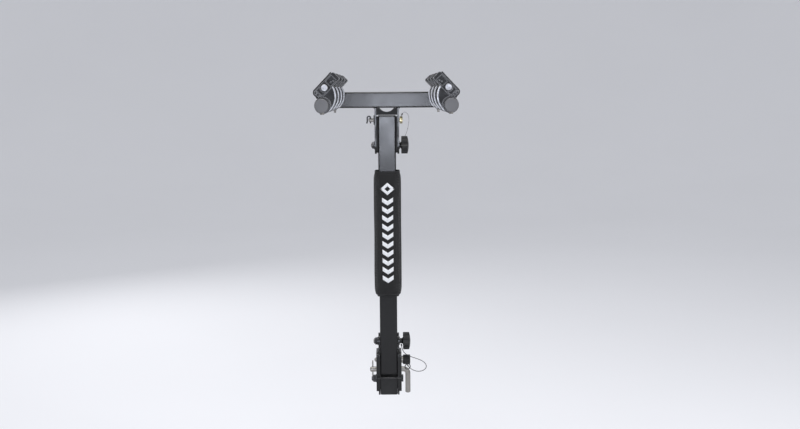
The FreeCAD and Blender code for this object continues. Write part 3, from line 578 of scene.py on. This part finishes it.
def pad_profile():
    """(half width, corner, height) round the sleeve's wall: down the outside and up the inside."""
    low, high = PAD_LOW.z + 0.001, PAD_HIGH.z - 0.001
    wall, inside = PAD_WALL_START, PAD_INSIDE
    profile = []
    top_roll, low_roll = 0.003, 0.007
    top_steps, rows, low_steps, inner_rows = 5, 60, 6, 40
    for k in range(top_steps):
        turn = math.pi / 2 * k / top_steps
        profile.append((wall - top_roll + top_roll * math.sin(turn), PAD_CORNER,
                        high - top_roll + top_roll * math.cos(turn)))
    for k in range(rows + 1):
        share = k / rows
        z = (high - top_roll) * (1 - share) + (low + low_roll) * share
        waist = 0.0006 * math.sin(math.pi * share) + 0.0004 * math.sin(7.0 * share + 1.0)
        profile.append((wall + waist, PAD_CORNER + 0.001 * share, z))
    for k in range(1, low_steps + 1):
        turn = math.pi / 2 * k / low_steps
        profile.append((wall - low_roll + low_roll * math.cos(turn), 0.013,
                        low + low_roll - low_roll * math.sin(turn)))
    profile.append((inside, PAD_INNER_CORNER, low + 0.0015))
    for k in range(1, inner_rows):
        profile.append((inside, PAD_INNER_CORNER, low + (high - low) * k / inner_rows))
    profile.append((inside, PAD_INNER_CORNER, high - 0.001))
    profile.append(((wall + inside) / 2, 0.008, high))
    return profile


def ring_mesh(name, profile):
    """Closed sleeve round the mast whose rings follow a closed (half width, corner, height) profile."""
    vertices = []
    for half, corner, z in profile:
        ring = rounded_square(half, corner, PAD_AROUND)
        vertices += [(MAST_MIDDLE.x + x, MAST_MIDDLE.y + y, z) for x, y in ring]
    return mesh_from(name, vertices, looped_faces(len(profile), PAD_AROUND))


def swell(obj, voxel, pressure, frames, cap):
    """Fills a sewn form by a short cloth simulation, and caps how far each point may move."""
    remesh = obj.modifiers.new("remesh", "REMESH")
    remesh.mode = "VOXEL"
    remesh.voxel_size = voxel
    apply_modifiers(obj)
    start = [v.co.copy() for v in obj.data.vertices]
    cloth = obj.modifiers.new("cloth", "CLOTH")
    cloth.settings.quality = 4
    cloth.settings.use_pressure = True
    cloth.settings.uniform_pressure_force = pressure
    cloth.settings.tension_stiffness = 20
    cloth.settings.effector_weights.gravity = 0
    cloth.point_cache.frame_start = 1
    cloth.point_cache.frame_end = frames
    for number in range(1, frames + 1):
        bpy.context.scene.frame_set(number)
    apply_modifiers(obj)
    bpy.context.scene.frame_set(1)
    for vertex, rest in zip(obj.data.vertices, start):
        moved = vertex.co - rest
        if moved.length > cap:
            vertex.co = rest + moved.normalized() * cap


def make_pad():
    """Foam sleeve with a knitted cover, swollen by simulation, creased a little and kept off the mast."""
    mesh = ring_mesh("pad_cover", pad_profile())
    pad = add_object("pad_cover", mesh, None, FINISHES["pad_fabric"])
    swell(pad, voxel=0.005, pressure=4.0, frames=20, cap=PAD_SWELL_CAP)
    pad.data.materials.clear()
    pad.data.materials.append(FINISHES["pad_fabric"])
    subdivision = pad.modifiers.new("smooth", "SUBSURF")
    subdivision.levels = subdivision.render_levels = 1
    apply_modifiers(pad)
    for vertex in pad.data.vertices:
        offset = vertex.co - MAST_MIDDLE
        reach = max(abs(offset.x), abs(offset.y))
        if reach < PAD_INSIDE + 0.004:
            if reach < PAD_INSIDE:
                vertex.co.x = MAST_MIDDLE.x + offset.x * PAD_INSIDE / reach
                vertex.co.y = MAST_MIDDLE.y + offset.y * PAD_INSIDE / reach
            continue
        place = Vector((offset.x * 18, offset.y * 18, vertex.co.z * 7))
        crease = noise.noise(place) * 0.0007 + noise.noise(place * 4.0) * 0.0002
        outward = Vector((offset.x, offset.y, 0)).normalized()
        vertex.co += outward * crease
        vertex.co.z = min(max(vertex.co.z, PAD_LOW.z - 0.001), PAD_HIGH.z + 0.001)
    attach(pad, "mast")
    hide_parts("pad_sleeve")
    return pad


pad = make_pad()


def surface_of(obj):
    """Makes the function that finds where a ray first meets an object's surface."""
    tree = BVHTree.FromPolygons([v.co for v in obj.data.vertices], [p.vertices for p in obj.data.polygons])

    def touch(start, direction):
        return tree.ray_cast(Vector(start), Vector(direction))[0]
    return touch


touch_pad = surface_of(pad)


def sheet_faces(base, rows, columns):
    """Faces of a thin closed sheet: two layers of points, numbered from base, joined round their edges."""
    count = (rows + 1) * (columns + 1)
    end = columns
    faces = []

    def index(layer, i, k):
        return base + layer * count + i * (columns + 1) + k

    for i in range(rows):
        for k in range(columns):
            faces.append((index(0, i, k), index(0, i, k + 1), index(0, i + 1, k + 1), index(0, i + 1, k)))
            faces.append((index(1, i, k), index(1, i + 1, k), index(1, i + 1, k + 1), index(1, i, k + 1)))
    for i in range(rows):
        faces.append((index(0, i, 0), index(0, i + 1, 0), index(1, i + 1, 0), index(1, i, 0)))
        faces.append((index(0, i, end), index(1, i, end), index(1, i + 1, end), index(0, i + 1, end)))
    for k in range(columns):
        faces.append((index(0, 0, k), index(1, 0, k), index(1, 0, k + 1), index(0, 0, k + 1)))
        faces.append((index(0, rows, k), index(0, rows, k + 1), index(1, rows, k + 1), index(1, rows, k)))
    return faces


def pad_film(name, quads, side, proud, sunk, material, columns):
    """Thin closed layer on the pad. Quads are in (x, z), and side -1 is the face away from the car."""
    vertices, faces = [], []
    start_y = MAST_MIDDLE.y + side * RAY_START
    for corners in quads:
        a, b, c, d = (Vector((x, z)) for x, z in corners)
        rows = max(2, round(columns * (d - a).length / max((b - a).length, 1e-6)))
        faces += sheet_faces(len(vertices), rows, columns)
        for layer in (proud, -sunk):
            for i in range(rows + 1):
                for k in range(columns + 1):
                    u, v = k / columns, i / rows
                    flat = (a * (1 - u) + b * u) * (1 - v) + (d * (1 - u) + c * u) * v
                    place = touch_pad((flat.x, start_y, flat.y), (0, -side, 0))
                    vertices.append(place + Vector((0, side, 0)) * layer)
    add_object(name, mesh_from(name, vertices, faces), "mast", material)


def make_print():
    """Plain chevrons down the pad's face under an open diamond."""
    half, rise, stroke = 0.0155, 0.0100, 0.0125
    pitch, count, low = 0.0247, 10, PAD_LOW.z + 0.041
    quads = []
    for number in range(count):
        z = low + pitch * number
        quads.append([(-half, z + rise), (0.0, z), (0.0, z + stroke), (-half, z + rise + stroke)])
        quads.append([(0.0, z), (half, z + rise), (half, z + rise + stroke), (0.0, z + stroke)])
    centre, wide, tall, inner_share = low + pitch * count + 0.022, 0.0205, 0.0175, 0.42
    outer = [(0.0, centre - tall), (wide, centre), (0.0, centre + tall), (-wide, centre)]
    inner = [(x * inner_share, centre + (z - centre) * inner_share) for x, z in outer]
    for k in range(4):
        quads.append([outer[k], outer[(k + 1) % 4], inner[(k + 1) % 4], inner[k]])
    pad_film("pad_print", quads, -1, 0.0002, 0.0006, PRINT, 6)


def make_pad_closure():
    """Flap of the hook-and-loop seam down the pad's rear face, with its stitching."""
    low, high = PAD_LOW.z + 0.006, PAD_HIGH.z - 0.006
    left, right, face_seam = -0.014, 0.012, 0.0245
    pad_film("pad_flap", [[(left, low), (right, low), (right, high), (left, high)]],
             1, 0.0016, 0.0008, BINDING, 5)
    stitches("pad_flap_stitches", (left + 0.003, right - 0.003), low + 0.004, high - 0.004, 1, 0.0018)
    stitches("pad_face_stitches", (-face_seam, face_seam), low + 0.008, high - 0.004, -1, 0.0002)


def stepped(low, high, step):
    """Evenly spaced values from low to high, about a step apart."""
    count = int((high - low) / step)
    return [low + (high - low) * k / count for k in range(count + 1)]


def stitches(name, columns, low, high, side, proud):
    """Upright rows of short threads, one at each x in columns, on the pad's front or rear face."""
    thread, reach = 0.00035, 0.0014
    profile = [(-reach, thread * 0.3), (-reach * 0.7, thread * 0.9), (0.0, thread),
               (reach * 0.7, thread * 0.9), (reach, thread * 0.3)]
    parts = []
    for x in columns:
        for z in stepped(low, high, STITCH_PITCH):
            place = touch_pad((x, MAST_MIDDLE.y + side * RAY_START, z), (0, -side, 0))
            parts.append(spun(profile, place + Vector((0, side * proud, 0)), (0, 0, 1), 6))
    vertices, faces = merged(parts)
    add_object(name, mesh_from(name, vertices, faces), "mast", THREAD)


def make_pad_bindings():
    """Folded tape sewn round both ends of the sleeve."""
    side = touch_pad((MAST_MIDDLE.x + RAY_START, MAST_MIDDLE.y, PAD_HIGH.z - 0.009), (-1, 0, 0))
    wall = side.x - MAST_MIDDLE.x
    steps = 16
    for name, z, half, roll in (("pad_binding_top", PAD_HIGH.z - 0.0038, wall - 0.0021, 0.0036),
                                ("pad_binding_low", PAD_LOW.z + 0.0020, PAD_WALL_START - 0.0058, 0.0026)):
        profile = []
        for k in range(steps):
            turn = 2 * math.pi * k / steps
            across, up = math.cos(turn), math.sin(turn)
            squash = abs(across) ** 0.6 * math.copysign(1.0, across)
            profile.append((half + 0.0012 * squash, 0.0115, z + roll * math.copysign(abs(up) ** 0.7, up)))
        add_object(name, ring_mesh(name, profile), "mast", BINDING)


make_print()
make_pad_closure()
make_pad_bindings()


# ================================================================ cradle straps

CRADLE_TILT = math.radians(46)
ARM_X, ARM_Z = joint_point("cradle_right_1_swivel").x, joint_point("cradle_right_1_swivel").z
BLOCK_LOW_U, BLOCK_TOP_V = 0.006, 0.036
STRAP_HALF_W, STRAP_THICK = 0.011, 0.003
STRAP_TAB_U = 0.060            # where the strap's flat run ends and its pull tab starts


def strap_line():
    """(u, v, normal angle) along the strap's middle, from its lower anchor over the block to the tab."""
    bend, anchor_v, step = 0.0082, 0.0204, 0.002
    tab_length, tab_lift = 0.0072, 0.0006
    bend_steps, tab_steps = 8, 5
    u0, v_top = BLOCK_LOW_U - STRAP_THICK / 2, BLOCK_TOP_V + STRAP_THICK / 2
    line = [(u0, v, math.pi) for v in stepped(anchor_v, v_top - bend, step)]
    for k in range(1, bend_steps + 1):
        turn = math.pi / 2 * k / bend_steps
        line.append((u0 + bend - bend * math.cos(turn), v_top - bend + bend * math.sin(turn), math.pi - turn))
    line += [(u, v_top, math.pi / 2) for u in stepped(u0 + bend + 0.002, STRAP_TAB_U, step)]
    for k in range(1, tab_steps + 1):
        share = k / tab_steps
        line.append((STRAP_TAB_U + tab_length * share, v_top + tab_lift * share * share, math.pi / 2))
    return line


def strap_mesh():
    """One rubber strap in the cradle's own frame, as (u, y, v) points."""
    section = []
    corner = 0.0009
    half_t = STRAP_THICK / 2 - 0.00005
    for sign_w, sign_t, start in ((1, 1, 0), (-1, 1, 90), (-1, -1, 180), (1, -1, 270)):
        for k in range(4):
            turn = math.radians(start + 30 * k)
            section.append((sign_w * (STRAP_HALF_W - corner) + corner * math.cos(turn),
                            sign_t * (half_t - corner) + corner * math.sin(turn)))
    vertices = []
    line = strap_line()
    for u, v, facing in line:
        narrow = 1.0 - 0.16 * max(0.0, (u - 0.058) / 0.010)
        for across, rise in section:
            vertices.append((u + math.cos(facing) * rise, across * narrow, v + math.sin(facing) * rise))
    return mesh_from("strap", vertices, capped_faces(len(line), len(section)))


def strap_details():
    """Raised rims round the three holes, grip ribs on the tab and an anchor bead, in the cradle's frame."""
    top = BLOCK_TOP_V + STRAP_THICK - 0.0001
    rim = [(-0.0006, 0.0026), (-0.0006, 0.0043), (0.0001, 0.0042),
           (0.0006, 0.0037), (0.0006, 0.0030), (0.0001, 0.0026)]
    rib = [(-0.0090, 0.0002), (-0.0088, 0.0007), (0.0, 0.0007), (0.0088, 0.0007), (0.0090, 0.0002)]
    parts = [ring_spun(rim, (u, 0.0, top), 24) for u in (0.036, 0.046, 0.056)]
    parts += [spun(rib, (u, 0.0, top + 0.0001), (0, 1, 0), 10) for u in (0.0605, 0.0628, 0.0651)]
    bead = [(-STRAP_HALF_W, 0.0016), (-STRAP_HALF_W + 0.001, 0.0026),
            (STRAP_HALF_W - 0.001, 0.0026), (STRAP_HALF_W, 0.0016)]
    parts.append(spun(bead, (BLOCK_LOW_U - 0.0016, 0.0, 0.0218), (0, 1, 0), 16))
    vertices, faces = merged(parts)
    return mesh_from("strap_details", vertices, faces)


def placed(mesh, side, y):
    """Copy of a mesh made in the cradle's frame, put on an arm. The right arm's is a mirror image."""
    made = mesh.copy()
    made.transform(Matrix.Rotation(-CRADLE_TILT, 4, "Y"))
    if side == "right":
        made.transform(Matrix.Scale(-1, 4, (1, 0, 0)))
        made.flip_normals()
    made.transform(Matrix.Translation((SIDES[side] * ARM_X, y, ARM_Z)))
    return made


def make_straps():
    """One strap with its details on each of the eight cradles."""
    base, details = strap_mesh(), strap_details()
    finish = FINISHES["strap_rubber"]
    for side in SIDES:
        for number in range(1, 5):
            name = f"cradle_{side}_{number}"
            y = joint_point(name + "_swivel").y
            strap = add_object(name + "_rubber_strap", placed(base, side, y), name, finish)
            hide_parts(name + "_strap")
            add_object(name + "_strap_details", placed(details, side, y), name, finish)


make_straps()


# ================================================================ hardware and welds

def washer_piece(name, centre, axis, radius, hole, thick, body, slot):
    """Flat washer with bevelled outer edges."""
    edge, half = 0.0004, thick / 2
    profile = [(-half, hole), (-half, radius - edge), (-half + edge, radius), (half - edge, radius),
               (half, radius - edge), (half, hole)]
    vertices, faces = ring_spun(profile, (0, 0, 0), 40)
    mesh = mesh_from(name, vertices, faces)
    mesh.transform(Vector(axis).to_track_quat("Z", "Y").to_matrix().to_4x4())
    mesh.transform(Matrix.Translation(centre))
    add_object(name, mesh, body, FINISHES[slot])


def thread_piece(name, start, end, radius, pitch, body, slot):
    """Exposed turns of a thread over a plain stud."""
    start, end = Vector(start), Vector(end)
    length = (end - start).length
    turns = max(1, round(length / pitch))
    profile = [(0.0, radius * 0.97)]
    for k in range(turns):
        at = length * (k + 0.5) / turns
        profile += [(at - pitch * 0.38, radius * 1.005), (at - pitch * 0.1, radius * 1.07),
                    (at + pitch * 0.1, radius * 1.07), (at + pitch * 0.38, radius * 1.005)]
    profile.append((length, radius * 0.97))
    vertices, faces = spun(profile, start, end - start, 28)
    add_object(name, mesh_from(name, vertices, faces), body, FINISHES[slot])


def weld(name, points, radius, body, seed):
    """Bead with the ripples of a weld along a joint."""
    ripple_pitch = 0.0024
    line = resampled([Vector(p) for p in points], ripple_pitch / 4)
    random.seed(seed)
    phase = random.uniform(0, 6)

    def ripple(along):
        fade = min(1.0, along / 0.003 + 0.35)
        fine = 0.08 * abs(math.sin(math.pi * along / ripple_pitch + phase))
        return fade * (0.92 + fine + 0.06 * math.sin(along * 310 + phase))
    mesh = tube_mesh(name, line, radius, sides=12, scale_at=ripple)
    add_object(name, mesh, body, WELD)


def make_hardware():
    """Washer at the upper lock pin's clip, and the threads that show past the nuts."""
    lock = Vector(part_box("upper_lock_pin")[0]).lerp(Vector(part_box("upper_lock_pin")[1]), 0.5)
    plate_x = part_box("bracket_plate_right")[1][0]
    washer_piece("upper_lock_washer", (-plate_x - 0.0016, lock.y, lock.z), (1, 0, 0), 0.0135, 0.0053, 0.0022,
                 "mast", "plug_plastic")
    for side, sign in SIDES.items():
        x, y = sign * ARM_X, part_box("arm_bolts")[1][1] - 0.005
        thread_piece(f"root_bolt_thread_{side}", (x, y, BAR_LOW.z - 0.0062), (x, y, BAR_LOW.z - 0.0128),
                     0.003, 0.001, "head", "zinc")
    stud_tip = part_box("lower_knob_stud")[0][0]
    thread_piece("lower_stud_thread", (stud_tip + 0.0019, LOWER_HINGE.y, LOWER_HINGE.z),
                 (stud_tip + 0.0002, LOWER_HINGE.y, LOWER_HINGE.z), 0.0056, 0.0008, "lower_knob", "zinc")


def make_pull_ring():
    """Split ring that hangs in the lower pull head, where the lanyard is hooked on."""
    radius, wire, sides, twist = 0.0080, 0.0013, 14, math.radians(19)
    low, high = (Vector(c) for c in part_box("lower_lock_grip"))
    centre = ((low.x + high.x) / 2 + 0.003, low.y + 0.013, low.z - 0.0075)
    section = [(wire * math.sin(2 * math.pi * k / sides), radius + wire * math.cos(2 * math.pi * k / sides))
               for k in range(sides)]
    mesh = mesh_from("lower_pull_ring", *ring_spun(section, (0, 0, 0), 48))
    mesh.transform(Matrix.Rotation(math.radians(90), 4, "X"))
    mesh.transform(Matrix.Rotation(twist, 4, "Z"))
    mesh.transform(Matrix.Translation(centre))
    add_object("lower_pull_ring", mesh, "lower_lock_pin", FINISHES["black_zinc"])


def make_welds():
    """Fillet welds of the head and the yoke."""
    low, high = (Vector(c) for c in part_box("bracket_plate_right"))
    web_low, web_high = (Vector(c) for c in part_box("bracket_web"))
    z = BAR_LOW.z - 0.0004
    for side, sign in SIDES.items():
        x = sign * (high.x + 0.0004)
        weld(f"bracket_weld_outer_{side}", [(x, web_low.y + 0.004, z), (x, BAR_HIGH.y - 0.002, z)],
             0.0021, "head", 3)
        x = sign * (high.x - 0.0055)
        y = web_low.y - 0.0002
        weld(f"bracket_weld_front_{side}", [(x, y, z), (x - sign * 0.008, y, z)], 0.0016, "head", 5)
        x, y = sign * (low.x + 0.0003), web_high.y + 0.0003
        weld(f"web_weld_{side}", [(x, y, web_low.z + 0.002), (x, y, web_high.z - 0.006)], 0.0015, "head", 7)
    outer_low, outer_high = (Vector(c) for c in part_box("yoke_outer_plate_right"))
    for side, sign in SIDES.items():
        x, top = sign * (outer_low.x + 0.0005), outer_high.z + 0.0002
        weld(f"yoke_weld_{side}", [(x, outer_low.y + 0.016, top), (x, outer_low.y + 0.056, top)],
             0.0020, "hitch_frame", 11)


def make_lip():
    """Rolled front edge of the yoke's base web, which catches the light across the side plates."""
    low, high = (Vector(c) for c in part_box("yoke_base_web"))
    reach, radius = high.x - 0.0028, 0.0026
    line = [Vector((x, low.y + 0.0014, (low.z + high.z) / 2))
            for x in (-reach, -reach / 2, 0.0, reach / 2, reach)]
    mesh = tube_mesh("yoke_lip", line, radius, sides=20)
    add_object("yoke_lip", mesh, "hitch_frame", FINISHES["black_coat"])


make_hardware()
make_pull_ring()
make_welds()
make_lip()


# ================================================================ stage, lights and camera

FLOOR_Z = -0.36


def make_floor():
    """Pale studio bowl: a flat floor that rises smoothly far from the object."""
    rings, steps = 60, 96
    flat_r, full_r, rise, curve = 6.0, 14.0, 5.0, 2.4
    vertices, faces = [(0.0, 0.0, FLOOR_Z)], []
    for i in range(1, rings + 1):
        r = full_r * i / rings
        share = max(0.0, (r - flat_r) / (full_r - flat_r))
        z = FLOOR_Z + rise * share ** curve
        vertices += [(r * math.cos(2 * math.pi * k / steps), r * math.sin(2 * math.pi * k / steps), z)
                     for k in range(steps)]
    for k in range(steps):
        faces.append((0, 1 + k, 1 + (k + 1) % steps))
    for i in range(rings - 1):
        for k in range(steps):
            a, b = 1 + i * steps + k, 1 + i * steps + (k + 1) % steps
            faces.append((a, a + steps, b + steps, b))
    mesh = bpy.data.meshes.new("studio_floor")
    mesh.from_pydata(vertices, [], faces)
    floor = bpy.data.objects.new("studio_floor", mesh)
    bpy.context.scene.collection.objects.link(floor)
    mesh.materials.append(floor_paint())
    shade_smooth(mesh)


def area_light(name, place, target, width, height, power, colour=(1.0, 1.0, 1.0)):
    """Rectangular lamp at a place, turned to face its target."""
    data = bpy.data.lights.new(name, "AREA")
    data.shape = "RECTANGLE"
    data.size, data.size_y = width, height
    data.energy = power
    data.color = colour
    lamp = bpy.data.objects.new(name, data)
    lamp.location = place
    lamp.rotation_mode = "QUATERNION"
    lamp.rotation_quaternion = (Vector(target) - Vector(place)).to_track_quat("-Z", "Y")
    bpy.context.scene.collection.objects.link(lamp)


def make_lights():
    """Key below the lens for the glow on the upper mast, a strip over the arms, fills and a pale world."""
    area_light("softbox_front", (0.035, -3.35, 0.69), (0.0, -0.175, 0.78),
               0.11, 0.32, 17.0, (0.90, 0.95, 1.08))
    area_light("softbox_arms", (0.0, -0.50, 1.75), (0.0, -0.50, 0.85), 0.14, 0.6, 4.0)
    area_light("softbox_right", (2.9, -1.6, 1.9), (0.0, -0.3, 0.6), 1.0, 1.4, 30.0)
    area_light("softbox_top", (-0.5, -0.7, 3.2), (0.0, -0.3, 0.4), 2.0, 2.0, 30.0)
    area_light("softbox_back", (-1.8, 2.6, 1.7), (0.0, 0.0, 0.5), 1.2, 1.6, 24.0)
    world = bpy.data.worlds.new("studio")
    world.use_nodes = True
    background = world.node_tree.nodes["Background"]
    background.inputs["Color"].default_value = (0.94, 0.96, 1.0, 1.0)
    background.inputs["Strength"].default_value = 0.68
    bpy.context.scene.world = world


def make_camera():
    """Eye level with the arms, straight behind the rack, looking slightly down and to the right."""
    distance, eye_height = 2.70, 0.8523
    eye = Vector((0.0, MAST_LOW.y - distance, eye_height))
    pitch, yaw, roll = math.radians(-7.38), math.radians(-0.745), math.radians(-0.42)
    data = bpy.data.cameras.new("camera")
    data.sensor_width = 36.0
    data.lens = 43.2
    data.clip_start, data.clip_end = 0.05, 100.0
    camera = bpy.data.objects.new("camera", data)
    turn = Matrix.Rotation(yaw, 4, "Z") @ Matrix.Rotation(math.radians(90) + pitch, 4, "X")
    camera.matrix_world = Matrix.Translation(eye) @ turn @ Matrix.Rotation(roll, 4, "Z")
    bpy.context.scene.collection.objects.link(camera)
    bpy.context.scene.camera = camera


make_floor()
make_lights()
make_camera()
bpy.context.scene.view_settings.view_transform = "Standard"

bpy.context.view_layer.update()
